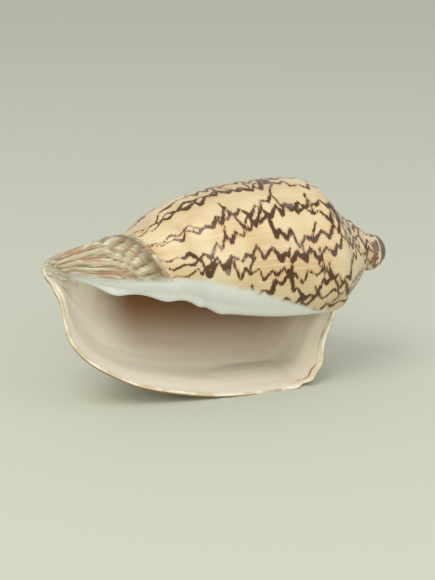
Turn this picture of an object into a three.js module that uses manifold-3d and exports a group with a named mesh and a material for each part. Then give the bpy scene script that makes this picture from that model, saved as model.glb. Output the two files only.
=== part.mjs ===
// Volute shell, 120 mm long, lying on its outer lip with the mouth towards -Y and the spire towards +X.
// The wall is one sheet that grows round the long axis. Millimetres, +Z up, the surface it lies on at z = 0.

import * as THREE from 'three';
import Module from 'manifold-3d';
import { LoftGeometry } from 'three/addons/geometries/LoftGeometry.js';
import { mergeVertices } from 'three/addons/utils/BufferGeometryUtils.js';

// Pose: where the long axis runs, and how far the lip leans forward from straight down.
const APEX_X = 58.2;
const AXIS_Y = - 6.2;
const AXIS_HEIGHT = 42.4;
const LIP_LEAN = 18.5;

// Outline of the newest wall, the outer lip, from the suture to the front tip.
// Each point is [distance from the apex along the axis, distance from the axis].
const LIP_OUTLINE = [
	[ 18.5, 20.6 ], [ 20.8, 25 ], [ 23.6, 31.5 ], [ 27.2, 40.3 ], [ 33.9, 44.5 ], [ 43.2, 45.2 ],
	[ 53.4, 45 ], [ 64.7, 44.2 ], [ 76.4, 42 ], [ 87.8, 39 ], [ 98.2, 34.9 ], [ 107.4, 29.7 ],
	[ 112.4, 23.5 ], [ 113.8, 16.9 ], [ 114, 10.6 ], [ 115, 5.3 ], [ 116.5, 2 ],
];

// Growth: at each angle before the lip, in degrees, how large the whorl was against the lip (1),
// where its suture lay along the axis, how far its shoulder sloped away from the suture, and how far
// its front was stretched.
const WHORL_SIZE = [
	[ - 900, 0.11 ], [ - 720, 0.2 ], [ - 540, 0.285 ], [ - 360, 0.418 ], [ - 270, 0.492 ], [ - 180, 0.6 ],
	[ - 110, 0.73 ], [ - 60, 0.888 ], [ - 36, 0.978 ], [ - 17, 0.948 ], [ 0, 1 ],
];
const SUTURE_PLACE = [
	[ - 900, 1 ], [ - 720, 2.2 ], [ - 540, 4.9 ], [ - 360, 7.5 ], [ - 180, 14.9 ], [ - 90, 17 ], [ 0, 18.5 ],
];
const SHOULDER_SLOPE = [
	[ - 900, 1 ], [ - 720, 2 ], [ - 360, 3.2 ], [ - 180, 3.8 ], [ - 90, 3.4 ], [ 0, 0 ],
];
const FRONT_REACH = [ [ - 900, 0.3 ], [ - 720, 0.41 ], [ - 360, 0.636 ], [ - 180, 0.7 ], [ 0, 1 ] ];
const OLDEST_ANGLE = - 900;
const SHOULDER_RADIUS = 38;     // from here out on the lip's outline the whole shoulder slope counts
const FRONT_START = 80;         // the front of the lip's outline, with folds and band, begins here
const TIP_REACH = 1.045;        // older stages end a little in front of the lip's tip
const TIP_STRETCH = [ 29, 4 ];  // from the first radius in to the second, the outline turns to the tip
const TIP_EASE = 1.5;           // how softly it starts to turn
const TIP_RISE = 3;             // the front end curves up by this much
const RISE_SPAN = [ 88, 120 ];  // along the axis, where it does

// Wall and siphonal band.
const WALL = 2.2;
const SMALLEST_WALL = 0.45;     // share of the wall that a whorl of no size would have
const WALL_GROWTH = 0.6;        // what the share gains as the whorl grows to full size
const THINNEST = 0.35;          // share of the radius that the wall leaves free near the axis
const LIP_EDGE = 1.2;
const LIP_THINNING = 25;        // degrees over which the wall thins to the lip's edge
const LIP_SHAPING = 60;         // degrees over which the notch and the chips die away behind the lip
const SUTURE_OVERLAP = 3;
const BAND_STEP = 1;            // the rough band stands this far proud of the body whorl
const BAND_RAMP = 2.5;
const BAND_FADE = [ - 120, - 40 ];
const BAND_EDGE = [ [ - 400, 24.5 ], [ - 360, 23.5 ], [ - 180, 19.5 ], [ 0, 19 ] ];
const NOTCH_DEPTH = 34;         // degrees by which the notch lies behind the lip
const NOTCH_SPAN = [ 6, 17 ];   // and how far from the axis it reaches

// The glaze laid over the whorl along the mouth: how thick it is, the angles over which it comes in
// and goes out, and where it starts on the shoulder, from the axis.
const CALLUS = 1.2;
const CALLUS_START = [ - 430, - 375 ];
const CALLUS_END = [ - 350, - 328 ];
const CALLUS_SHOULDER = [ 22, 32 ];

// Four folds on the columella: where each lies on the lip's outline, from its axis, and its height.
const FOLDS = [ [ 35, 0.8 ], [ 27, 1.2 ], [ 19.5, 1.5 ], [ 11, 1.8 ] ];
const FOLD_WIDTH = 2.4;

// Chips broken from the lip: [distance from the apex, width along the lip, depth in degrees].
const CHIPS = [ [ 23, 3, 2.4 ], [ 27.5, 2, 1.6 ], [ 33, 3, 2.6 ], [ 40, 2.5, 1.2 ] ];

const DOME_RADIUS = 6.5;
const DOME_CENTRE = 4.4;        // from the apex of the growth curve, which it covers
const DOME_DROP = 0.9;
const DOME_PARTS = [ 20, 12 ];  // round and from end to end
const COLUMELLA = [
	[ 8, 1 ], [ 12, 3 ], [ 40, 4.5 ], [ 75, 5.5 ], [ 94, 5.5 ], [ 108, 4.6 ], [ 115, 3.2 ], [ 118, 1 ],
];
const COLUMELLA_SIDES = 14;
const SLIVER = 0.04;            // edges left by the joins that are shorter than this are closed up

const SHELL_FINISH = { color: 0xd9c39c, roughness: 0.42, metalness: 0 };

// A smooth curve through [position, value] stages.
function through( stages ) {

	const places = stages.map( ( stage ) => stage[ 0 ] );
	const values = stages.map( ( stage ) => stage[ 1 ] );
	const curve = new THREE.CubicInterpolant( places, values, 1, new Float64Array( 1 ) );
	return ( place ) => curve.evaluate( place )[ 0 ];

}

const whorlSize = through( WHORL_SIZE );
const suturePlace = through( SUTURE_PLACE );
const shoulderSlope = through( SHOULDER_SLOPE );
const frontReach = through( FRONT_REACH );
const bandEdge = through( BAND_EDGE );
const lipOutline = new THREE.SplineCurve( LIP_OUTLINE.map( ( [ y, r ] ) => new THREE.Vector2( y, r ) ) );

const bump = ( distance, width ) => Math.exp( - ( ( distance / width ) ** 2 ) );

// How much of the front stretch a point of the lip's outline takes: 0 on the body, 1 at the tip.
function tipShare( lip ) {

	if ( lip.x < FRONT_START ) return 0;
	const [ outer, inner ] = TIP_STRETCH;
	const share = THREE.MathUtils.clamp( ( outer - lip.y ) / ( outer - inner ), 0, 1 );
	return ( THREE.MathUtils.smoothstep( share, 0, 1 ) + share ** TIP_EASE ) / 2;

}

// Height of the glaze, the folds and the rough band over the plain wall, at an angle before the lip.
function relief( lip, angle ) {

	const inMouth = 1 - THREE.MathUtils.smoothstep( angle, ...CALLUS_END );
	const callus = CALLUS * inMouth * THREE.MathUtils.smoothstep( angle, ...CALLUS_START );
	if ( lip.x < FRONT_START ) return callus * THREE.MathUtils.smoothstep( lip.y, ...CALLUS_SHOULDER );
	const folds = FOLDS.reduce( ( sum, [ r, height ] ) => sum + height * bump( lip.y - r, FOLD_WIDTH ), 0 );
	const edge = bandEdge( angle );
	const onBand = 1 - THREE.MathUtils.smoothstep( lip.y, edge - BAND_RAMP, edge );
	const overBody = ( 1 - inMouth ) * ( 1 - THREE.MathUtils.smoothstep( angle, ...BAND_FADE ) );
	return callus + folds * inMouth + BAND_STEP * onBand * overBody;

}

// One point of the outer surface: [distance from the apex along the axis, distance from the axis].
function grown( lip, angle ) {

	const share = tipShare( lip );
	const tipReach = TIP_REACH - ( TIP_REACH - 1 ) * Math.exp( THREE.MathUtils.degToRad( angle ) );
	const reach = frontReach( angle ) * ( 1 - share ) + tipReach * share;
	const [ sutureY, sutureRadius ] = LIP_OUTLINE[ 0 ];
	const onShoulder = THREE.MathUtils.smoothstep( lip.y, sutureRadius, SHOULDER_RADIUS );
	const y = suturePlace( angle ) + shoulderSlope( angle ) * onShoulder + ( lip.x - sutureY ) * reach;
	return new THREE.Vector2( y, lip.y * whorlSize( angle ) + relief( lip, angle ) );

}

// How far behind the lip's plane its real edge lies, in degrees: the notch and the chips.
function edgeSetback( lip ) {

	const chips = CHIPS.reduce( ( sum, [ y, width, depth ] ) => sum + depth * bump( lip.x - y, width / 2 ), 0 );
	if ( lip.x < FRONT_START ) return chips;
	return NOTCH_DEPTH * ( 1 - THREE.MathUtils.smoothstep( lip.y, ...NOTCH_SPAN ) );

}

function placed( point, angle ) {

	const turn = THREE.MathUtils.degToRad( angle + LIP_LEAN );
	const rise = TIP_RISE * THREE.MathUtils.smoothstep( point.x, ...RISE_SPAN );
	return new THREE.Vector3(
		APEX_X - point.x,
		AXIS_Y - point.y * Math.sin( turn ),
		AXIS_HEIGHT + rise - point.y * Math.cos( turn ),
	);

}

// Where the wall's section has its points along the lip's outline: close together where it bends.
const SHOULDER_POINTS = 9;
const BODY_POINTS = 8;
const FRONT_POINTS = 18;
const SHOULDER_END = 0.22;
const BODY_END = 0.62;

function sectionPlaces() {

	const places = [];
	const spread = ( start, end, count ) => {

		for ( let i = 0; i < count; i ++ ) places.push( start + ( end - start ) * i / count );

	};
	spread( 0, SHOULDER_END, SHOULDER_POINTS );
	spread( SHOULDER_END, BODY_END, BODY_POINTS );
	spread( BODY_END, 1, FRONT_POINTS );
	return [ ...places, 1 ];

}

const LIP_POINTS = sectionPlaces().map( ( place ) => lipOutline.getPointAt( place ) );

// The wall cut through at one angle: outside from suture to tip, and back along the inside.
// An inset makes it thinner on both sides, by that share of its thickness.
function wallSection( stage, inset = 0 ) {

	const nearLip = THREE.MathUtils.smoothstep( stage, - LIP_SHAPING, 0 );
	const angles = LIP_POINTS.map( ( lip ) => stage - edgeSetback( lip ) * nearLip );
	const outline = LIP_POINTS.map( ( lip, i ) => grown( lip, angles[ i ] ) );
	const size = Math.min( 1, SMALLEST_WALL + WALL_GROWTH * whorlSize( stage ) );
	const thinning = ( WALL - LIP_EDGE ) * THREE.MathUtils.smoothstep( stage, - LIP_THINNING, 0 );
	const thickness = ( WALL - thinning ) * size;

	function skin( depth ) {

		return outline.map( ( point, i ) => {

			const before = outline[ Math.max( i - 1, 0 ) ];
			const after = outline[ Math.min( i + 1, outline.length - 1 ) ];
			const along = after.clone().sub( before ).setLength( depth * thickness );
			const radius = Math.max( point.y - along.x, point.y * ( 1 - ( 1 - THINNEST ) * depth ) );
			return new THREE.Vector2( point.x + along.y, radius );

		} );

	}

	const outside = skin( inset );
	const inside = skin( 1 - inset );
	const root = outside[ 0 ].clone();
	root.y -= SUTURE_OVERLAP * size * ( 1 - inset );
	const ring = [ placed( root, angles[ 0 ] ) ];
	outside.forEach( ( point, i ) => ring.push( placed( point, angles[ i ] ) ) );
	for ( let i = inside.length - 1; i >= 0; i -= 2 ) ring.push( placed( inside[ i ], angles[ i ] ) );
	return ring;

}

// Stages of growth, finer where the wall is large.
function stagesBetween( first, last, step ) {

	const count = Math.round( ( last - first ) / step );
	return Array.from( { length: count + 1 }, ( _, i ) => first + ( last - first ) * i / count );

}

// Stretches of the wall, from the oldest: first angle, last angle and the step between sections.
const STRETCHES = [
	[ OLDEST_ANGLE, - 720, 22.5 ], [ - 720, - 540, 18 ], [ - 540, - 360, 15 ],
	[ - 360, - 270, 10 ], [ - 270, - 90, 10 ], [ - 90, 0, 7.5 ],
];

// The tongue by which a stretch reaches into the older one: degrees, and how much thinner it is.
const TONGUE = 3;
const TONGUE_INSET = 0.1;

const wasm = await Module();
wasm.setup();

function solid( geometry ) {

	geometry.deleteAttribute( 'normal' );
	geometry.deleteAttribute( 'uv' );
	const merged = mergeVertices( geometry, 1e-4 );
	return new wasm.Manifold( new wasm.Mesh( {
		numProp: 3,
		vertProperties: new Float32Array( merged.attributes.position.array ),
		triVerts: new Uint32Array( merged.index.array ),
	} ) );

}

// A stretch of the wall, with a thin tongue that joins it to the older stretch before it.
function stretch( [ first, last, step ] ) {

	const sections = stagesBetween( first, last, step ).map( ( stage ) => wallSection( stage ) );
	if ( first > OLDEST_ANGLE ) sections.unshift( wallSection( first - TONGUE, TONGUE_INSET ) );
	return solid( new LoftGeometry( sections.reverse(), { closed: true, capStart: true, capEnd: true } ) );

}

// The brown dome that the first whorls end in.
function dome() {

	const ball = new THREE.SphereGeometry( DOME_RADIUS, ...DOME_PARTS );
	ball.translate( APEX_X - DOME_CENTRE, AXIS_Y, AXIS_HEIGHT - DOME_DROP );
	return solid( ball );

}

// The solid column round the axis, where the oldest walls have grown together.
function columella() {

	const corners = Array.from( { length: COLUMELLA_SIDES }, ( _, i ) => 360 * i / COLUMELLA_SIDES );
	const sections = COLUMELLA.map( ( [ y, r ] ) => {

		const point = new THREE.Vector2( y, r );
		return corners.map( ( angle ) => placed( point, angle ) );

	} );
	return solid( new LoftGeometry( sections, { closed: true, capStart: true, capEnd: true } ) );

}

// What would lie below the resting plane is taken off, which leaves the flat that the shell rests on.
const GROUND = [ 300, 40 ];

function below() {

	const [ side, depth ] = GROUND;
	const block = new THREE.BoxGeometry( side, side, depth );
	block.translate( 0, 0, - depth / 2 );
	return solid( block );

}

// The largest surface of a solid: the pockets that old walls close off round the axis have grown solid.
function filled( whole ) {

	const larger = ( one, other ) => ( other.volume() > one.volume() ? other : one );
	return whole.decompose().reduce( larger );

}

function shellGeometry() {

	const grownWall = STRETCHES.map( stretch ).reduce( ( whole, piece ) => whole.add( piece ) );
	const whole = grownWall.add( dome() ).add( columella() ).subtract( below() );
	const mesh = filled( whole.simplify( SLIVER ) ).getMesh();
	const geometry = new THREE.BufferGeometry();
	geometry.setAttribute( 'position', new THREE.BufferAttribute( mesh.vertProperties, 3 ) );
	geometry.setIndex( new THREE.BufferAttribute( mesh.triVerts, 1 ) );
	geometry.computeVertexNormals();
	return geometry;

}

const shell = new THREE.Mesh( shellGeometry(), new THREE.MeshStandardMaterial( SHELL_FINISH ) );
shell.name = 'shell';

const group = new THREE.Group();
group.add( shell );

export default group;
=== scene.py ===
# Volute shell, 120 mm long, lying on its outer lip on a pale floor, mouth towards the camera.
import math
import random

import bmesh
import bpy
from mathutils import Matrix, Vector, kdtree, noise


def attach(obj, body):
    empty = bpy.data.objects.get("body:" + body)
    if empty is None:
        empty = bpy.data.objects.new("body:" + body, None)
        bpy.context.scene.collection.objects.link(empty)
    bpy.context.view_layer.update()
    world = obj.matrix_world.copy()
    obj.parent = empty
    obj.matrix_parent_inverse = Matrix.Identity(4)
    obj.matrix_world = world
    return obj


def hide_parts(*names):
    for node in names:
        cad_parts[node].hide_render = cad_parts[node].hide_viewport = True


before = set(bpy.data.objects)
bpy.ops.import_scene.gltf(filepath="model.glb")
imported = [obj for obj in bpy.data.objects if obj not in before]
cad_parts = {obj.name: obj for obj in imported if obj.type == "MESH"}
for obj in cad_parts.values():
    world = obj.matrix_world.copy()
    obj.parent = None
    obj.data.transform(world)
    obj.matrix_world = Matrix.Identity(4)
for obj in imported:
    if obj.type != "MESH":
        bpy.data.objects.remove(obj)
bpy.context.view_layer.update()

MM = 0.001

# The growth of the shell.
# A volute lays down lime along the edge of its mouth as it turns, so the whole wall is the outline of
# the lip carried back round a long axis, smaller with every turn. All sizes here are in millimetres.
APEX_X = 58.2
AXIS_Y = -6.2
AXIS_HEIGHT = 42.4
LIP_LEAN = 18.5
LIP_OUTLINE = [
    (18.5, 20.6), (20.8, 25), (23.6, 31.5), (27.2, 40.3), (33.9, 44.5), (43.2, 45.2),
    (53.4, 45), (64.7, 44.2), (76.4, 42), (87.8, 39), (98.2, 34.9), (107.4, 29.7),
    (112.4, 23.5), (113.8, 16.9), (114, 10.6), (115, 5.3), (116.5, 2),
]
WHORL_SIZE = [
    (-900, 0.11), (-720, 0.2), (-540, 0.285), (-360, 0.418), (-270, 0.492), (-180, 0.6),
    (-110, 0.73), (-60, 0.888), (-36, 0.978), (-17, 0.948), (0, 1),
]
SUTURE_PLACE = [(-900, 1), (-720, 2.2), (-540, 4.9), (-360, 7.5), (-180, 14.9), (-90, 17), (0, 18.5)]
SHOULDER_SLOPE = [(-900, 1), (-720, 2), (-360, 3.2), (-180, 3.8), (-90, 3.4), (0, 0)]
FRONT_REACH = [(-900, 0.3), (-720, 0.41), (-360, 0.636), (-180, 0.7), (0, 1)]
SHOULDER_RADIUS = 38
FRONT_START = 80
TIP_REACH = 1.045
TIP_STRETCH = (29, 4)
TIP_EASE = 1.5
TIP_RISE = 3
RISE_SPAN = (88, 120)


def smoothstep(value, start, end):
    share = min(1.0, max(0.0, (value - start) / (end - start)))
    return share * share * (3 - 2 * share)


def bump(distance, width):
    return math.exp(-((distance / width) ** 2))


def through(stages):
    """A smooth curve through (place, value) stages, straight at its ends."""
    places = [place for place, _ in stages]
    values = [value for _, value in stages]
    last = len(stages) - 1

    def value_at(place):
        place = min(max(place, places[0]), places[-1])
        right = next(i for i in range(1, last + 1) if place <= places[i])
        left = right - 1
        span = places[right] - places[left]
        before = left - 1 if left > 0 else right
        after = right + 1 if right < last else left
        pull_before = 0.5 * span / (places[left] - places[before])
        pull_after = 0.5 * span / (places[after] - places[right])
        p = (place - places[left]) / span
        return (
            values[before] * pull_before * (-p ** 3 + 2 * p ** 2 - p)
            + values[left] * ((1 + pull_before) * p ** 3 - (1.5 + 2 * pull_before) * p ** 2
                              + (pull_before - 0.5) * p + 1)
            + values[right] * (-(1 + pull_after) * p ** 3 + (1.5 + pull_after) * p ** 2 + 0.5 * p)
            + values[after] * pull_after * (p ** 3 - p ** 2)
        )

    return value_at


def evenly_along(points, count, fineness=24):
    """Points at even distances on a rounded curve through the given ones."""
    fine = []
    for i in range(len(points) - 1):
        p0, p1, p2, p3 = (Vector(points[min(max(i + k, 0), len(points) - 1)]) for k in (-1, 0, 1, 2))
        for step in range(fineness):
            t = step / fineness
            start, end = (p2 - p0) * 0.5, (p3 - p1) * 0.5
            fine.append(p1 + start * t + (3 * (p2 - p1) - 2 * start - end) * t ** 2
                        + (2 * (p1 - p2) + start + end) * t ** 3)
    fine.append(Vector(points[-1]))
    lengths = [0.0]
    for a, b in zip(fine, fine[1:]):
        lengths.append(lengths[-1] + (b - a).length)
    even, i = [], 0
    for n in range(count):
        want = lengths[-1] * n / (count - 1)
        while i < len(fine) - 2 and lengths[i + 1] < want:
            i += 1
        share = (want - lengths[i]) / (lengths[i + 1] - lengths[i])
        even.append(fine[i].lerp(fine[i + 1], share))
    return even


whorl_size = through(WHORL_SIZE)
suture_place = through(SUTURE_PLACE)
shoulder_slope = through(SHOULDER_SLOPE)
front_reach = through(FRONT_REACH)


def tip_share(lip):
    """How much of the front stretch a point of the lip's outline takes: 0 on the body, 1 at the tip."""
    if lip.x < FRONT_START:
        return 0.0
    outer, inner = TIP_STRETCH
    share = min(1.0, max(0.0, (outer - lip.y) / (outer - inner)))
    return (smoothstep(share, 0, 1) + share ** TIP_EASE) / 2


def placed(y, r, angle):
    """The place in space, in metres, of a point so far along the axis and from it, at an angle."""
    turn = math.radians(angle + LIP_LEAN)
    rise = TIP_RISE * smoothstep(y, *RISE_SPAN)
    height = AXIS_HEIGHT + rise - r * math.cos(turn)
    return Vector((APEX_X - y, AXIS_Y - r * math.sin(turn), max(height, 0.0))) * MM


# Relief of the wall.
# Glaze is laid thick over the old whorl along the mouth, four folds wind up the columella, and the band
# behind the siphonal notch is a stack of rough growth scales.
CALLUS = 1.2
CALLUS_START = (-430, -375)
CALLUS_END = (-350, -328)
CALLUS_SHOULDER = (22, 32)
FOLDS = [(35, 0.8), (27, 1.2), (19.5, 1.5), (11, 1.8)]
FOLD_WIDTH = 2.4
band_edge = through([(-400, 24.5), (-360, 23.5), (-180, 19.5), (0, 19)])
BAND_STEP = 1.0             # the band stands this proud of the body
BAND_RAMP = 2.5
BAND_FADE = (-120, -40)     # the band's step and ridge sink into the wall towards the lip
OFF_BAND = -20.0
RIDGE_HEIGHT = 0.7          # the sharp ridge that bounds the band
RIDGE_WIDTH = 0.9
SCALE_BEND = 140            # degrees by which a scale bends back where it nears the band's edge
SCALE_BEND_SPAN = (12, 23)
SCALE_SPACING = 26          # degrees of that bent growth from one rough scale to the next
SCALE_HEIGHT = 0.8
SCALE_START = (-300, -285)  # angles between which the scales come out from under the glaze
SCALE_BREAK = 0.8           # the share of its spacing at which a scale breaks off
SCALE_WANDER = 1.1
WANDER_GRAIN = (0.2, 0.02)
SMALL_SCALES = 3.3          # small scales for each large one
SMALL_HEIGHT = 0.3
SMALL_BREAK = 0.7
RAGGED_GRAIN = (0.5, 0.1)
BAND_RADIUS = 8             # a middling distance of the band from the axis
# Where the glaze ends over the old whorl: place along the lip's outline, and angle.
glaze_end = through([
    (18.5, -352), (27, -350), (48, -336), (64, -318), (82, -304), (99, -294), (112, -292), (117, -288),
])


def in_mouth(angle):
    return 1 - smoothstep(angle, *CALLUS_END)


def band_inset(lip, angle):
    """How far inside the rough band's edge a point lies, in millimetres on the lip. Below 0 is off it."""
    return band_edge(angle) - lip.y if lip.x > FRONT_START else OFF_BAND


def on_band(lip, angle):
    """1 on the rough band round the front end, 0 off it."""
    return smoothstep(band_inset(lip, angle), 0, BAND_RAMP) * (1 - in_mouth(angle))


def bent_growth(lip, angle):
    """The angle of growth as the band records it: the notch's curved edge bends it back near the border."""
    return angle + SCALE_BEND * smoothstep(lip.y, *SCALE_BEND_SPAN)


def scales(lip, angle):
    """Rough growth scales, from 0 to 1: each rises slowly and breaks off short, none quite regular."""
    bent = bent_growth(lip, angle) / SCALE_SPACING
    wander = noise.noise(Vector((lip.y * WANDER_GRAIN[0], angle * WANDER_GRAIN[1], 3.1))) * SCALE_WANDER
    phase = (bent + wander) % 1.0
    small = (bent * SMALL_SCALES + wander * 2) % 1.0
    ragged = 0.75 + 0.5 * noise.noise(Vector((lip.y * RAGGED_GRAIN[0], angle * RAGGED_GRAIN[1], 8.4)))
    large = phase ** 1.5 * (1 - smoothstep(phase, SCALE_BREAK, 1.0))
    return ragged * (large + SMALL_HEIGHT * small * (1 - smoothstep(small, SMALL_BREAK, 1.0)))


def relief(lip, angle):
    mouth = in_mouth(angle)
    callus = CALLUS * mouth * smoothstep(angle, *CALLUS_START)
    if lip.x < FRONT_START:
        return callus * smoothstep(lip.y, *CALLUS_SHOULDER)
    folds = sum(height * bump(lip.y - r, FOLD_WIDTH) for r, height in FOLDS)
    step = BAND_STEP * (1 - smoothstep(angle, *BAND_FADE))
    rough = SCALE_HEIGHT * scales(lip, angle) * smoothstep(angle, *SCALE_START)
    ridge = RIDGE_HEIGHT * bump(band_inset(lip, angle) - RIDGE_WIDTH, RIDGE_WIDTH)
    ridge *= (1 - mouth) * (1 - smoothstep(angle, *BAND_FADE))
    return callus + folds * mouth + on_band(lip, angle) * (step + rough) + ridge


def grown(lip, angle):
    """One point of the outside: how far along the axis from the apex, and how far from the axis."""
    share = tip_share(lip)
    tip_reach = TIP_REACH - (TIP_REACH - 1) * math.exp(math.radians(angle))
    reach = front_reach(angle) * (1 - share) + tip_reach * share
    suture_y, suture_r = LIP_OUTLINE[0]
    shoulder = shoulder_slope(angle) * smoothstep(lip.y, suture_r, SHOULDER_RADIUS)
    y = suture_place(angle) + shoulder + (lip.x - suture_y) * reach
    return Vector((y, lip.y * whorl_size(angle) + relief(lip, angle)))


# The edge of the lip.
# The notch that the siphon leaves is cut back at the front, and the thin edge is chipped, worst at the
# squared corner beside the spire.
NOTCH_DEPTH = 34
NOTCH_SPAN = (6, 17)
LIP_SHAPING = 60
CHIPS = [(23, 3, 2.4), (27.5, 2, 1.6), (33, 3, 2.6), (40, 2.5, 1.2)]
NIBBLES = 0.7               # degrees by which small chips eat into the rest of the edge
NIBBLE_GRAIN = 0.8          # small chips to the millimetre, about


def edge_setback(lip):
    chips = sum(depth * bump(lip.x - y, width / 2) for y, width, depth in CHIPS)
    nibbles = NIBBLES * max(0.0, noise.noise(Vector((lip.x * NIBBLE_GRAIN, lip.y * NIBBLE_GRAIN, 0.5))))
    if lip.x < FRONT_START:
        return chips + nibbles
    return nibbles + NOTCH_DEPTH * (1 - smoothstep(lip.y, *NOTCH_SPAN))


# The wall, grown step by step.
# It starts as a short strip on the spire, and each step extrudes its edge and puts the new edge where
# the growth law says. From the last whorl and a quarter on, the strip is the full outline of the lip.
OLDEST_ANGLE = -900
FULL_OUTLINE_FROM = -455
OUTLINE_POINTS = 150
SPIRE_POINTS = 44           # as much of the outline as shows on the spire
SPIRE_STEP = 4.0            # degrees
GROWTH_STEP = 0.85          # millimetres at the widest part
WIDEST = 45.2
SUTURE_TUCK = 2.5           # the strip's first edge is tucked under the whorl before
BARE_SHOULDER = 12.0        # as much of an old whorl as shows beyond the next, and so has no glaze
EDGE_ROUND = 0.55           # the lip's edge is worn round over its last growth
EDGE_ROUND_ANGLE = 1.1
EDGE_STEPS = 4
SMALLEST_RADIUS = 0.5
TUCK_AT_APEX = 0.45         # as a share of the full tuck
WALL_AT_APEX = 0.45         # the wall at the apex, its gain with size, the wall at the axis and what the
WALL_GROWTH = 0.6           # lip loses, as shares of the full thickness
WALL_AT_AXIS = 0.35
LIP_THINNING = 0.55
FULL_WALL_RADIUS = 14       # the wall is full this far from the axis
LIP_THINS_FROM = -25

lip_points = evenly_along(LIP_OUTLINE, OUTLINE_POINTS)
setbacks = [edge_setback(lip) for lip in lip_points]

bm = bmesh.new()
place_layer = bm.verts.layers.int.new("place")
across_layer = bm.verts.layers.float.new("across")
along_layer = bm.verts.layers.float.new("along")
age_layer = bm.verts.layers.float.new("age")
band_layer = bm.verts.layers.float.new("band")
scale_layer = bm.verts.layers.float.new("scale")
bent_layer = bm.verts.layers.float.new("bent")
glaze_layer = bm.verts.layers.float.new("glaze")
wall_layer = bm.verts.layers.deform.new()
FULL_WALL = 0


def stage(angle):
    """Where the strip's points lie at one angle, and how far each is along the strip."""
    near_lip = smoothstep(angle, -LIP_SHAPING, 0)
    angles = [angle - setback * near_lip for setback in setbacks]
    outline = [grown(lip, at) for lip, at in zip(lip_points, angles)]
    worn = EDGE_ROUND * smoothstep(angle, -EDGE_ROUND_ANGLE, 0) ** 2
    outline = [Vector((point.x, max(point.y - worn, SMALLEST_RADIUS))) for point in outline]
    points = [placed(point.x, point.y, at) for point, at in zip(outline, angles)]
    tucked = outline[0] - Vector((0, SUTURE_TUCK * min(1.0, TUCK_AT_APEX + whorl_size(angle))))
    across = [0.0]
    for a, b in zip(outline, outline[1:]):
        across.append(across[-1] + (b - a).length)
    return [placed(tucked.x, tucked.y, angles[0])] + points, [-SUTURE_TUCK] + across


def set_down(verts, angle, along):
    points, across = stage(angle)
    size = whorl_size(angle)
    for vert in verts:
        i = vert[place_layer]
        lip = lip_points[max(i - 1, 0)]
        vert.co = points[i]
        vert[across_layer] = across[i]
        vert[along_layer] = along
        vert[age_layer] = angle
        vert[band_layer] = band_inset(lip, angle) * size
        vert[scale_layer] = scales(lip, angle)
        vert[bent_layer] = math.radians(bent_growth(lip, angle)) * BAND_RADIUS
        glazed = math.radians(glaze_end(lip.x) - angle) * lip.y * size
        vert[glaze_layer] = min(glazed, across[i] - BARE_SHOULDER * (angle < CALLUS_END[0]))
        thick = min(1.0, WALL_AT_APEX + WALL_GROWTH * size)
        thick *= min(1.0, WALL_AT_AXIS + lip.y * size / FULL_WALL_RADIUS)
        vert[wall_layer][FULL_WALL] = thick * (1 - LIP_THINNING * smoothstep(angle, LIP_THINS_FROM, 0))


def new_strip(first, last):
    verts = []
    for i in range(first, last):
        vert = bm.verts.new()
        vert[place_layer] = i
        verts.append(vert)
    return verts, [bm.edges.new(pair) for pair in zip(verts, verts[1:])]


strip, edges = new_strip(0, SPIRE_POINTS)
angle, along = OLDEST_ANGLE, 0.0
set_down(strip, angle, along)
while angle < 0:
    if angle < FULL_OUTLINE_FROM:
        step = SPIRE_STEP
    else:
        step = math.degrees(GROWTH_STEP / (WIDEST * whorl_size(angle)))
    if angle < FULL_OUTLINE_FROM <= angle + step:
        front, front_edges = new_strip(SPIRE_POINTS, OUTLINE_POINTS + 1)
        set_down(front, angle, along)
        outermost = max(strip, key=lambda vert: vert[place_layer])
        edges += [bm.edges.new((outermost, front[0]))] + front_edges
    if angle > -2 * EDGE_ROUND_ANGLE:
        step = EDGE_ROUND_ANGLE / EDGE_STEPS
    step = min(step, -angle)
    along += math.radians(step) * WIDEST * whorl_size(angle)
    angle += step
    extruded = bmesh.ops.extrude_edge_only(bm, edges=edges)["geom"]
    strip = [item for item in extruded if isinstance(item, bmesh.types.BMVert)]
    on_new_edge = set(strip)
    edges = [
        item for item in extruded
        if isinstance(item, bmesh.types.BMEdge) and set(item.verts) <= on_new_edge
    ]
    set_down(strip, angle, along)
grown_length = along
bm.normal_update()
facing_out = 0.0
for face in bm.faces:
    from_axis = face.calc_center_median() - Vector((0, AXIS_Y, AXIS_HEIGHT)) * MM
    from_axis.x = 0
    facing_out += face.normal.dot(from_axis)
if facing_out < 0:
    bmesh.ops.reverse_faces(bm, faces=bm.faces)
wall_faces = len(bm.faces)

# The zigzag lines.
# Cells along the mouth's edge lay brown pigment in bursts that run along the edge, turn back and meet,
# which leaves lines that zigzag from the suture to the front, with tents of bare cream between them.
LINE_SPACING = 6.0
LINE_HALF_WIDTH = (0.22, 0.42)
TOOTH_HALF_WIDTH = (0.3, 0.85)          # the lines widen where a tooth points back to older growth
BLOTCH_BANDS = [(15, 5), (36, 6), (66, 7)]       # where on the strip lines run together in blotches
BLOTCH_HALF_WIDTH = 0.7
LINE_REACH = 92
STRIDE = (0.9, 3.4)         # from one corner of a line to the next: across the strip, and along the growth
SWING = (1.0, 4.2)
LEAST_SWING = 0.6
BIG_SWING = 1.9
BIG_SWING_SHARE = 0.15
PULL_BACK = 0.6             # how strongly a line that has strayed is turned back to its place
DRIFT = 0.25
START_STRAY = 1.2
CALM_SPAN = (50, 85)        # towards the front the lines run straighter and thinner
CALM_STRIDE = 0.5
CALM_SWING = 0.5
CALM_THINNING = 0.25
CROSSINGS = 3               # for each zigzag line
CROSSING_SPAN = (6, 62)
CROSSING_LEAN = 0.5
CROSSING_RISE = (1.0, 2.6)
CROSSING_STRAY = 0.9
SAMPLE_STEP = 0.35
draw = random.Random(11)


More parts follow.
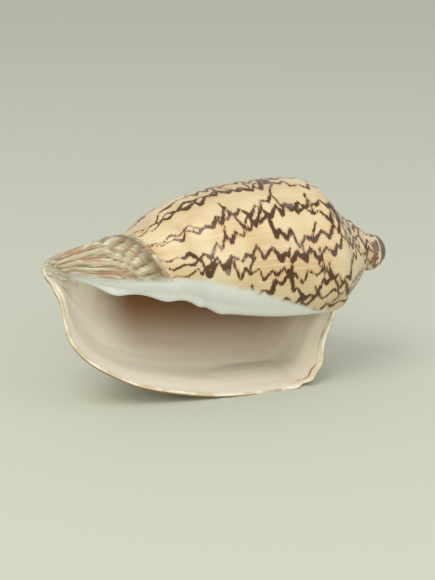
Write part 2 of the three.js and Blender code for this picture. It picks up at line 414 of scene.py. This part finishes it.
def zigzag(start):
    """The corners of one line, from the suture to the front, as (across, along, half width)."""
    across, along = -SUTURE_TUCK, start
    heading = draw.choice((-1, 1))
    corners = []
    drift = draw.uniform(-DRIFT, DRIFT)
    while across < LINE_REACH:
        calm = smoothstep(across, *CALM_SPAN)
        blotch = sum(bump(across - middle, reach) for middle, reach in BLOTCH_BANDS)
        half = draw.uniform(*(TOOTH_HALF_WIDTH if heading > 0 else LINE_HALF_WIDTH))
        half *= 1 - CALM_THINNING * calm
        half += BLOTCH_HALF_WIDTH * blotch * max(0.0, draw.uniform(-1.0, 1.0))
        corners.append((across, along, half))
        stride = draw.uniform(*STRIDE) * (1 + CALM_STRIDE * calm)
        swing = draw.uniform(*SWING) * (1 - CALM_SWING * calm)
        if draw.random() < BIG_SWING_SHARE:
            swing *= BIG_SWING
        away = (along - start) / LINE_SPACING
        swing *= 1 - PULL_BACK * heading * away
        swing = max(LEAST_SWING, swing)
        across += stride
        along += heading * swing + drift * stride
        heading = -heading
    return corners


def crossing(line):
    """A line that runs on from a corner of another, over to the next one, in the growth's direction."""
    first, last = CROSSING_SPAN
    across, along, half = draw.choice([corner for corner in line if first < corner[0] < last])
    corners = [(across, along, half)]
    lean = draw.uniform(-CROSSING_LEAN, CROSSING_LEAN)
    while along < corners[0][1] + LINE_SPACING:
        rise = draw.uniform(*CROSSING_RISE)
        along += rise
        across += lean * rise + draw.uniform(-CROSSING_STRAY, CROSSING_STRAY)
        corners.append((across, along, draw.uniform(*LINE_HALF_WIDTH)))
    return corners


brown_lines = []
for n in range(int(grown_length / LINE_SPACING) + 2):
    line = zigzag(n * LINE_SPACING + draw.uniform(-START_STRAY, START_STRAY))
    brown_lines += [line] + [crossing(line) for _ in range(CROSSINGS)]
samples = []
for corners in brown_lines:
    for corner, following in zip(corners, corners[1:]):
        start, end = Vector(corner), Vector(following)
        count = max(1, int((end.xy - start.xy).length / SAMPLE_STEP))
        samples += [start.lerp(end, k / count) for k in range(count)]

line_layer = bm.verts.layers.float.new("line")
tree = kdtree.KDTree(len(samples))
for index, sample in enumerate(samples):
    tree.insert((sample.x, sample.y, 0), index)
tree.balance()
for vert in bm.verts:
    _, index, distance = tree.find((vert[across_layer], vert[along_layer], 0))
    vert[line_layer] = distance - samples[index].z

# The columella.
# The column round the axis, where the walls of the old whorls have grown together. It is the same lime.
# It hardly shows, so it is a plain rod that tapers at both ends.
COLUMELLA = [(8, 1), (12, 3), (40, 4.5), (75, 5.5), (90, 5), (100, 3.6), (108, 2.2), (112, 1)]
COLUMELLA_SIDES = 24
FAR = 9.0                   # millimetres: well off every line and the band, well under the glaze
PLAIN_WALL = 0.2


def mark_plain(verts):
    """Verts that belong to no growth stage get no lines, no band and a thin wall."""
    for vert in verts:
        vert[line_layer] = FAR
        vert[glaze_layer] = FAR
        vert[band_layer] = -FAR
        vert[age_layer] = OLDEST_ANGLE
        vert[wall_layer][FULL_WALL] = PLAIN_WALL


ring = bmesh.ops.create_circle(bm, cap_ends=True, radius=MM, segments=COLUMELLA_SIDES)["verts"]
for vert in ring:
    turn = math.degrees(math.atan2(vert.co.y, vert.co.x))
    vert.co = placed(COLUMELLA[0][0], COLUMELLA[0][1], turn)
mark_plain(ring)
edges = list({edge for vert in ring for edge in vert.link_edges})
for y, r in COLUMELLA[1:]:
    extruded = bmesh.ops.extrude_edge_only(bm, edges=edges)["geom"]
    verts = [item for item in extruded if isinstance(item, bmesh.types.BMVert)]
    edges = [
        item for item in extruded
        if isinstance(item, bmesh.types.BMEdge) and set(item.verts) <= set(verts)
    ]
    for vert in verts:
        turn = math.degrees(math.atan2(AXIS_Y * MM - vert.co.y, AXIS_HEIGHT * MM - vert.co.z))
        vert.co = placed(y, r, turn - LIP_LEAN)
    mark_plain(verts)
bmesh.ops.contextual_create(bm, geom=edges)
bmesh.ops.recalc_face_normals(bm, faces=list(bm.faces)[wall_faces:])

# The dome.
# The shell that hatched: a smooth brown ball of two whorls with a shallow seam, much larger than in
# most sea snails. The rest of the spire starts from its edge.
DOME_RADIUS = 6.5
DOME_CENTRE = 4.4
DOME_DROP = 0.9
SEAM_DEPTH = 0.35
SEAM_WIDTH = 0.5
SEAM_TURNS = 1.6
SEAM_START = (0.6, 2.0)     # millimetres from the axis over which the seam begins
DOME_SEGMENTS = 64
DOME_RINGS = 40

dome_start = len(bm.faces)
ball = bmesh.ops.create_uvsphere(
    bm, u_segments=DOME_SEGMENTS, v_segments=DOME_RINGS, radius=DOME_RADIUS * MM,
    matrix=Matrix.Rotation(math.radians(90), 4, "Y"),
)["verts"]
for vert in ball:
    from_axis = math.hypot(vert.co.y, vert.co.z) / MM
    turn = math.atan2(vert.co.y, -vert.co.z) / (2 * math.pi)
    seam = min(abs(from_axis - DOME_RADIUS * (k - turn) / SEAM_TURNS) for k in range(4))
    dip = SEAM_DEPTH * bump(seam, SEAM_WIDTH) * smoothstep(from_axis, *SEAM_START)
    vert.co *= 1 - dip / DOME_RADIUS
    vert.co += Vector((APEX_X - DOME_CENTRE, AXIS_Y, AXIS_HEIGHT - DOME_DROP)) * MM
mark_plain(ball)
bm.faces.ensure_lookup_table()
OUTSIDE, INSIDE, EDGE, DOME = range(4)
for face in bm.faces:
    face.smooth = True
for face in bm.faces[dome_start:]:
    face.material_index = DOME

shell_mesh = bpy.data.meshes.new("shell")
bm.to_mesh(shell_mesh)
bm.free()
shell = bpy.data.objects.new("volute_shell", shell_mesh)
bpy.context.collection.objects.link(shell)
shell.vertex_groups.new(name="full_wall")

WALL = 2.2
wall = shell.modifiers.new("wall", "SOLIDIFY")
wall.thickness = WALL * MM
wall.offset = -1
wall.vertex_group = "full_wall"
wall.use_quality_normals = True
wall.material_offset = INSIDE - OUTSIDE
wall.material_offset_rim = EDGE - OUTSIDE

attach(shell, "root")
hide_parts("shell")


# Outside finish: polished, porcelain-like lime (aragonite) that the animal's mantle keeps smooth.
# To the eye it is glossy cream with faint growth lines. Its brown lines have an amber fringe and go grey
# where they are worn. The band is rough and matt, and the glaze is smooth and bluish white.
SHELL_IOR = 1.53
RAGGED = 1.5                # millimetres by which the lines' edges stray
LINE_BUMP = 0.06            # growth lines are this much of the band's roughness
GLOSSY = 0.3
BAND_MATT = 0.3             # added to the roughness on the band
WAVER = 3.0                 # millimetres by which the glaze's edge strays


def colour(code):
    """An sRGB hex colour as the linear colour that a shader takes."""
    channels = [int(code[i:i + 2], 16) / 255 for i in (1, 3, 5)]
    return [c / 12.92 if c <= 0.04045 else ((c + 0.055) / 1.055) ** 2.4 for c in channels] + [1.0]


def new_material(name):
    material = bpy.data.materials.new(name)
    material.use_nodes = True
    material.node_tree.nodes.clear()
    return material


def add(material, kind, inputs=(), output=0, **settings):
    """Adds a node with its settings and links, and gives one of its outputs."""
    node = material.node_tree.nodes.new("ShaderNode" + kind)
    for name, value in settings.items():
        setattr(node, name, value)
    for name, value in dict(inputs).items():
        if isinstance(value, bpy.types.NodeSocket):
            material.node_tree.links.new(value, node.inputs[name])
        else:
            node.inputs[name].default_value = value
    return node.outputs[output] if node.outputs else None


# Settings that go with a value kept at each point of the wall, with a smooth rise between two values of
# inputs 1 and 2, and with a mix of the colours at inputs 6 and 7.
KEPT = {"output": "Fac", "attribute_type": "GEOMETRY"}
RISE = {"interpolation_type": "SMOOTHSTEP"}
BLEND = {"output": 2, "data_type": "RGBA"}


def growth_noise(material, across_mm, along_mm, seed, detail=3.0, growth="along"):
    """Noise whose grain has one size in millimetres across the growth and another along it."""
    across = add(material, "Attribute", attribute_name="across", **KEPT)
    across = add(material, "Math", {0: across, 1: across_mm}, operation="DIVIDE")
    along = add(material, "Attribute", attribute_name=growth, **KEPT)
    along = add(material, "Math", {0: along, 1: along_mm}, operation="DIVIDE")
    place = add(material, "CombineXYZ", {0: across, 1: along, 2: seed})
    return add(material, "TexNoise", {"Vector": place, "Scale": 1.0, "Detail": detail})


def finish(material, base, roughness, bump_height, bump_distance):
    """Closes a material with the one shader that every part of the shell has."""
    normal = add(material, "Bump", {"Height": bump_height, "Distance": bump_distance, "Strength": 1.0})
    surface = add(material, "BsdfPrincipled", {
        "Base Color": base, "Roughness": roughness, "IOR": SHELL_IOR, "Normal": normal,
    })
    add(material, "OutputMaterial", {"Surface": surface})


outside = new_material("glazed aragonite, cream with brown lines")

# The distance in millimetres from the nearest line's edge, made ragged, gives the line and its fringe.
ragged = growth_noise(outside, 0.55, 2.6, seed=1.0)
ragged = add(outside, "Math", {0: ragged, 1: 0.5}, operation="SUBTRACT")
ragged = add(outside, "Math", {0: ragged, 1: RAGGED}, operation="MULTIPLY")
line_mm = add(outside, "Attribute", attribute_name="line", **KEPT)
line_mm = add(outside, "Math", {0: line_mm, 1: ragged}, operation="ADD")
ink = add(outside, "MapRange", {0: line_mm, 1: 0.22, 2: -0.12}, **RISE)
fringe = add(outside, "MapRange", {0: line_mm, 1: 0.75, 2: 0.0}, **RISE)
fringe = add(outside, "Math", {0: fringe, 1: 0.45}, operation="MULTIPLY")

# Cream ground, in broad patches and fine streaks that run beside the lines of growth.
patchy = growth_noise(outside, 14.0, 18.0, seed=4.0, detail=2.0)
patchy = add(outside, "MapRange", {0: patchy, 1: 0.35, 2: 0.65}, **RISE)
streaks = growth_noise(outside, 24.0, 0.9, seed=6.0, detail=4.0)
streaks = add(outside, "MapRange", {0: streaks, 1: 0.4, 2: 0.8}, **RISE)
cream = add(outside, "Mix", {0: patchy, 6: colour("#D4C39D"), 7: colour("#C8AC82")}, **BLEND)
cream = add(outside, "Mix", {0: streaks, 6: cream, 7: colour("#D5C4A0")}, **BLEND)

# Brown pigment, greyed where it is worn, and the pale wear along the seam.
worn = growth_noise(outside, 7.0, 9.0, seed=9.0, detail=5.0)
worn = add(outside, "MapRange", {0: worn, 1: 0.57, 2: 0.68}, **RISE)
worn = add(outside, "Math", {0: worn, 1: 0.6}, operation="MULTIPLY")
brown = growth_noise(outside, 2.0, 3.0, seed=12.0)
brown = add(outside, "Mix", {0: brown, 6: colour("#2E190C"), 7: colour("#5A3517")}, **BLEND)
brown = add(outside, "Mix", {0: worn, 6: brown, 7: colour("#8E8480")}, **BLEND)
marked = add(outside, "Mix", {0: fringe, 6: cream, 7: colour("#B98A50")}, **BLEND)
marked = add(outside, "Mix", {0: ink, 6: marked, 7: brown}, **BLEND)
seam_wear = add(outside, "Attribute", attribute_name="across", **KEPT)
seam_wear = add(outside, "MapRange", {0: seam_wear, 1: 4.5, 2: 0.5}, **RISE)
seam_grain = growth_noise(outside, 1.2, 2.5, seed=40.0, detail=5.0)
seam_wear = add(outside, "Math", {0: seam_wear, 1: seam_grain}, operation="MULTIPLY")
seam_wear = add(outside, "MapRange", {0: seam_wear, 1: 0.25, 2: 0.5}, **RISE)
marked = add(outside, "Mix", {0: seam_wear, 6: marked, 7: colour("#BFBAAE")}, **BLEND)

# The band: olive in the hollows, cream on the scales' backs, rust in streaks, painted shade in the groove.
inset_mm = add(outside, "Attribute", attribute_name="band", **KEPT)
band = add(outside, "MapRange", {0: inset_mm, 1: 0.0, 2: 0.35}, **RISE)
scale = add(outside, "Attribute", attribute_name="scale", **KEPT)
band_streaks = growth_noise(outside, 5.0, 0.7, seed=15.0, detail=4.0, growth="bent")
scale_tone = add(outside, "Math", {0: band_streaks, 1: 0.8}, operation="MULTIPLY")
scale_tone = add(outside, "Math", {0: scale, 1: scale_tone}, operation="ADD")
back = add(outside, "MapRange", {0: scale_tone, 1: 0.35, 2: 0.75}, **RISE)
crest = add(outside, "MapRange", {0: scale_tone, 1: 0.75, 2: 1.2}, **RISE)
band_colour = add(outside, "Mix", {0: back, 6: colour("#6C5C44"), 7: colour("#B5AB8C")}, **BLEND)
band_colour = add(outside, "Mix", {0: crest, 6: band_colour, 7: colour("#DCD6C2")}, **BLEND)
rust = growth_noise(outside, 9.0, 3.2, seed=18.0, detail=2.0, growth="bent")
rust = add(outside, "MapRange", {0: rust, 1: 0.5, 2: 0.62}, **RISE)
rust = add(outside, "Math", {0: rust, 1: 0.7}, operation="MULTIPLY")
band_colour = add(outside, "Mix", {0: rust, 6: band_colour, 7: colour("#A5774F")}, **BLEND)
# Painted shade: a dark line in the groove just inside the band's ridge, where shade falls.
painted_groove_shade = add(outside, "MapRange", {0: inset_mm, 1: 0.5, 2: 0.8}, **RISE)
painted_groove_shade_end = add(outside, "MapRange", {0: inset_mm, 1: 2.2, 2: 0.8}, **RISE)
painted_groove_shade = add(outside, "Math", {0: painted_groove_shade, 1: painted_groove_shade_end}, operation="MULTIPLY")
painted_groove_shade = add(outside, "Math", {0: painted_groove_shade, 1: 0.7}, operation="MULTIPLY")
band_colour = add(outside, "Mix", {0: painted_groove_shade, 6: band_colour, 7: colour("#6A5236")}, **BLEND)
marked = add(outside, "Mix", {0: band, 6: marked, 7: band_colour}, **BLEND)

# The glaze, with a soft wavering edge, and the brown skin left on the lip's last millimetre.
waver = growth_noise(outside, 4.0, 3.0, seed=21.0, detail=4.0)
waver = add(outside, "Math", {0: waver, 1: WAVER}, operation="MULTIPLY")
glaze = add(outside, "Attribute", attribute_name="glaze", **KEPT)
glaze = add(outside, "Math", {0: glaze, 1: waver}, operation="ADD")
glaze = add(outside, "MapRange", {0: glaze, 1: 0.3, 2: 3.4}, **RISE)
glaze_colour = growth_noise(outside, 12.0, 8.0, seed=24.0)
glaze_colour = add(outside, "Mix", {0: glaze_colour, 6: colour("#DEDFD3"), 7: colour("#CED6DA")}, **BLEND)
marked = add(outside, "Mix", {0: glaze, 6: marked, 7: glaze_colour}, **BLEND)
skin = add(outside, "Attribute", attribute_name="age", **KEPT)
skin = add(outside, "MapRange", {0: skin, 1: -1.6, 2: -0.9}, **RISE)
skin = add(outside, "Math", {0: skin, 1: 0.85}, operation="MULTIPLY")
marked = add(outside, "Mix", {0: skin, 6: marked, 7: colour("#7C5C40")}, **BLEND)

# Fine relief: growth lines on the bare lime, rougher and matt on the band, none under the glaze.
growth_lines = growth_noise(outside, 40.0, 0.5, seed=27.0)
growth_lines = add(outside, "Math", {0: growth_lines, 1: LINE_BUMP}, operation="MULTIPLY")
rough_band = add(outside, "Math", {0: band_streaks, 1: band}, operation="MULTIPLY")
bare = add(outside, "Math", {0: 1.0, 1: glaze}, operation="SUBTRACT")
height = add(outside, "Math", {0: growth_lines, 1: rough_band}, operation="ADD")
height = add(outside, "Math", {0: height, 1: bare}, operation="MULTIPLY")
matt = add(outside, "Math", {0: band, 1: bare}, operation="MULTIPLY")
matt = add(outside, "Math", {0: matt, 1: BAND_MATT}, operation="MULTIPLY")
roughness = add(outside, "Math", {0: GLOSSY, 1: matt}, operation="ADD")
finish(outside, marked, roughness, height, 0.5 * MM)

# Inside finish: the same lime, smoothed by the animal's body.
# To the eye it is satin cream, with a broken tan stripe a few millimetres in from the lip beside the spire.
# Far back in the mouth, but not in the siphon's canal, painted shade turns it warm brown.
inside = new_material("smooth aragonite, cream inside")
age = add(inside, "Attribute", attribute_name="age", **KEPT)
across = add(inside, "Attribute", attribute_name="across", **KEPT)
# Painted shade: the older, deeper inside turns warm brown, as shade falls far back in the mouth. The
# siphon's canal is left out of it.
depth = add(inside, "MapRange", {0: age, 1: -20.0, 2: -80.0}, **RISE)
off_canal = add(inside, "MapRange", {0: across, 1: 100.0, 2: 74.0}, **RISE)
depth = add(inside, "Math", {0: depth, 1: off_canal}, operation="MULTIPLY")
bands = growth_noise(inside, 60.0, 5.0, seed=30.0)
band_share = add(inside, "MapRange", {0: bands, 1: 0.35, 2: 0.65}, **RISE)
lined = add(inside, "Mix", {0: band_share, 6: colour("#F6F0E0"), 7: colour("#F0E7D2")}, **BLEND)
# The warm brown of the painted shade deep in the mouth.
lined = add(inside, "Mix", {0: depth, 6: lined, 7: colour("#80562E")}, **BLEND)
stripe = add(inside, "MapRange", {0: age, 1: -6.0, 2: -4.6}, **RISE)
stripe_end = add(inside, "MapRange", {0: age, 1: -3.0, 2: -4.4}, **RISE)
stripe = add(inside, "Math", {0: stripe, 1: stripe_end}, operation="MULTIPLY")
by_spire = add(inside, "MapRange", {0: across, 1: 36.0, 2: 22.0}, **RISE)
stripe = add(inside, "Math", {0: stripe, 1: by_spire}, operation="MULTIPLY")
broken = growth_noise(inside, 5.0, 1.5, seed=36.0, detail=4.0)
broken = add(inside, "MapRange", {0: broken, 1: 0.4, 2: 0.55}, **RISE)
stripe = add(inside, "Math", {0: stripe, 1: broken}, operation="MULTIPLY")
lined = add(inside, "Mix", {0: stripe, 6: lined, 7: colour("#B07C42")}, **BLEND)
finish(inside, lined, 0.28, bands, 0.15 * MM)

# Edge finish: the broken edge of the lip, bare lime that nothing has polished.
# To the eye it is chalky and matt, cream with tan stains a few millimetres long.
edge = new_material("chipped aragonite, bare lip edge")
chalk = growth_noise(edge, 5.0, 2.0, seed=33.0, detail=5.0)
stain = add(edge, "MapRange", {0: chalk, 1: 0.4, 2: 0.6}, **RISE)
stain = add(edge, "Mix", {0: stain, 6: colour("#E4DCC8"), 7: colour("#CDB997")}, **BLEND)
finish(edge, stain, 0.6, chalk, 0.2 * MM)

# Dome finish: the horn-brown lime of the hatchling.
# To the eye it is smooth and softly mottled. Beyond its worn, pale seam the first whorl of the spire is
# cream with brown patches.
DOME_SEAM_X = 56.4
MOTTLE = 2.5                # millimetres
dome = new_material("brown aragonite, hatchling dome")
spot = add(dome, "TexCoord", output="Object")
mottle = add(dome, "TexNoise", {"Vector": spot, "Scale": 1 / (MOTTLE * MM), "Detail": 4.0})
x_mm = add(dome, "SeparateXYZ", {0: spot}, output="X")
x_mm = add(dome, "Math", {0: x_mm, 1: MM}, operation="DIVIDE")
past_seam = add(dome, "Math", {0: x_mm, 1: DOME_SEAM_X}, operation="SUBTRACT")
stray = add(dome, "Math", {0: mottle, 1: 0.8}, operation="MULTIPLY")
past_seam = add(dome, "Math", {0: past_seam, 1: stray}, operation="ADD")
brown = add(dome, "Mix", {0: mottle, 6: colour("#54392C"), 7: colour("#866450")}, **BLEND)
patches = add(dome, "MapRange", {0: mottle, 1: 0.46, 2: 0.52}, **RISE)
patches = add(dome, "Mix", {0: patches, 6: colour("#CFBC98"), 7: brown}, **BLEND)
on_dome = add(dome, "MapRange", {0: past_seam, 1: 0.0, 2: 0.3}, **RISE)
horn = add(dome, "Mix", {0: on_dome, 6: patches, 7: brown}, **BLEND)
pale_seam = add(dome, "MapRange", {0: past_seam, 1: -0.4, 2: 0.0}, **RISE)
seam_end = add(dome, "MapRange", {0: past_seam, 1: 0.5, 2: 0.1}, **RISE)
pale_seam = add(dome, "Math", {0: pale_seam, 1: seam_end}, operation="MULTIPLY")
horn = add(dome, "Mix", {0: pale_seam, 6: horn, 7: colour("#CFC6B4")}, **BLEND)
finish(dome, horn, 0.35, mottle, 0.1 * MM)

# The slots follow OUTSIDE, INSIDE, EDGE and DOME. The last is the inner side of the dome's wall.
for material in (outside, inside, edge, dome, inside):
    shell_mesh.materials.append(material)

# Floor.
# One pale, matt painted sheet for the shell to lie on, which runs well past what the camera sees.
# It isn't part of the shell.
FLOOR_SIDE = 12.0
bpy.ops.mesh.primitive_plane_add(size=FLOOR_SIDE)
floor = bpy.context.object
floor.name = "floor"
paint = new_material("matt paint, pale grey green")
sheet = add(paint, "BsdfPrincipled", {"Base Color": colour("#C6CABC"), "Roughness": 0.7, "IOR": 1.45})
add(paint, "OutputMaterial", {"Surface": sheet})
floor.data.materials.append(paint)

# Light.
# A large soft lamp at the upper left, one low in front that reaches into the mouth, a weaker one at the
# right, and a pale room all round.
LAMPS_FACE = Vector((0, 0, 0.03))
ROOM_STRENGTH = 0.76


def lamp(name, place, size, power, tint):
    light = bpy.data.lights.new(name, "AREA")
    light.size = size
    light.energy = power
    light.color = colour(tint)[:3]
    holder = bpy.data.objects.new(name, light)
    holder.location = place
    holder.rotation_euler = (LAMPS_FACE - Vector(place)).to_track_quat("-Z", "Y").to_euler()
    bpy.context.collection.objects.link(holder)


lamp("key", (-0.6, -0.45, 1.1), size=0.7, power=6.8, tint="#FFFBF2")
lamp("front", (-0.35, -1.1, 0.35), size=0.6, power=4.2, tint="#FFF8EC")
lamp("fill", (0.8, -0.9, 0.3), size=0.9, power=3.2, tint="#F4F8FF")
room = bpy.data.worlds.new("room")
room.use_nodes = True
room.node_tree.nodes["Background"].inputs["Color"].default_value = colour("#F4F5F0")
room.node_tree.nodes["Background"].inputs["Strength"].default_value = ROOM_STRENGTH
bpy.context.scene.world = room
bpy.context.scene.view_settings.view_transform = "Standard"

# Camera.
# It stands on the mouth's side, a little above, at the photograph's angle.
# The yaw, the elevation and the distance come from fitting the growth law's outline to the photograph.
YAW = math.radians(20.98)
ELEVATION = math.radians(15.607)
APEX_SEEN = Vector((55.4, 14.54, 517.5)) * MM     # right, up and away from the camera
FOCAL_PIXELS = 1500
FRAME_PIXELS = 580
SENSOR = 36

forward = Vector((
    math.sin(YAW) * math.cos(ELEVATION), math.cos(YAW) * math.cos(ELEVATION), -math.sin(ELEVATION),
))
right = Vector((math.cos(YAW), -math.sin(YAW), 0))
up = right.cross(forward)
apex = Vector((APEX_X, AXIS_Y, AXIS_HEIGHT)) * MM
camera_data = bpy.data.cameras.new("camera")
camera_data.sensor_fit = "VERTICAL"
camera_data.sensor_height = SENSOR
camera_data.lens = FOCAL_PIXELS / FRAME_PIXELS * SENSOR
camera_data.clip_start = 0.01
camera = bpy.data.objects.new("camera", camera_data)
camera.location = apex - right * APEX_SEEN.x - up * APEX_SEEN.y - forward * APEX_SEEN.z
camera.rotation_euler = Matrix((right, up, -forward)).transposed().to_euler()
bpy.context.collection.objects.link(camera)
bpy.context.scene.camera = camera
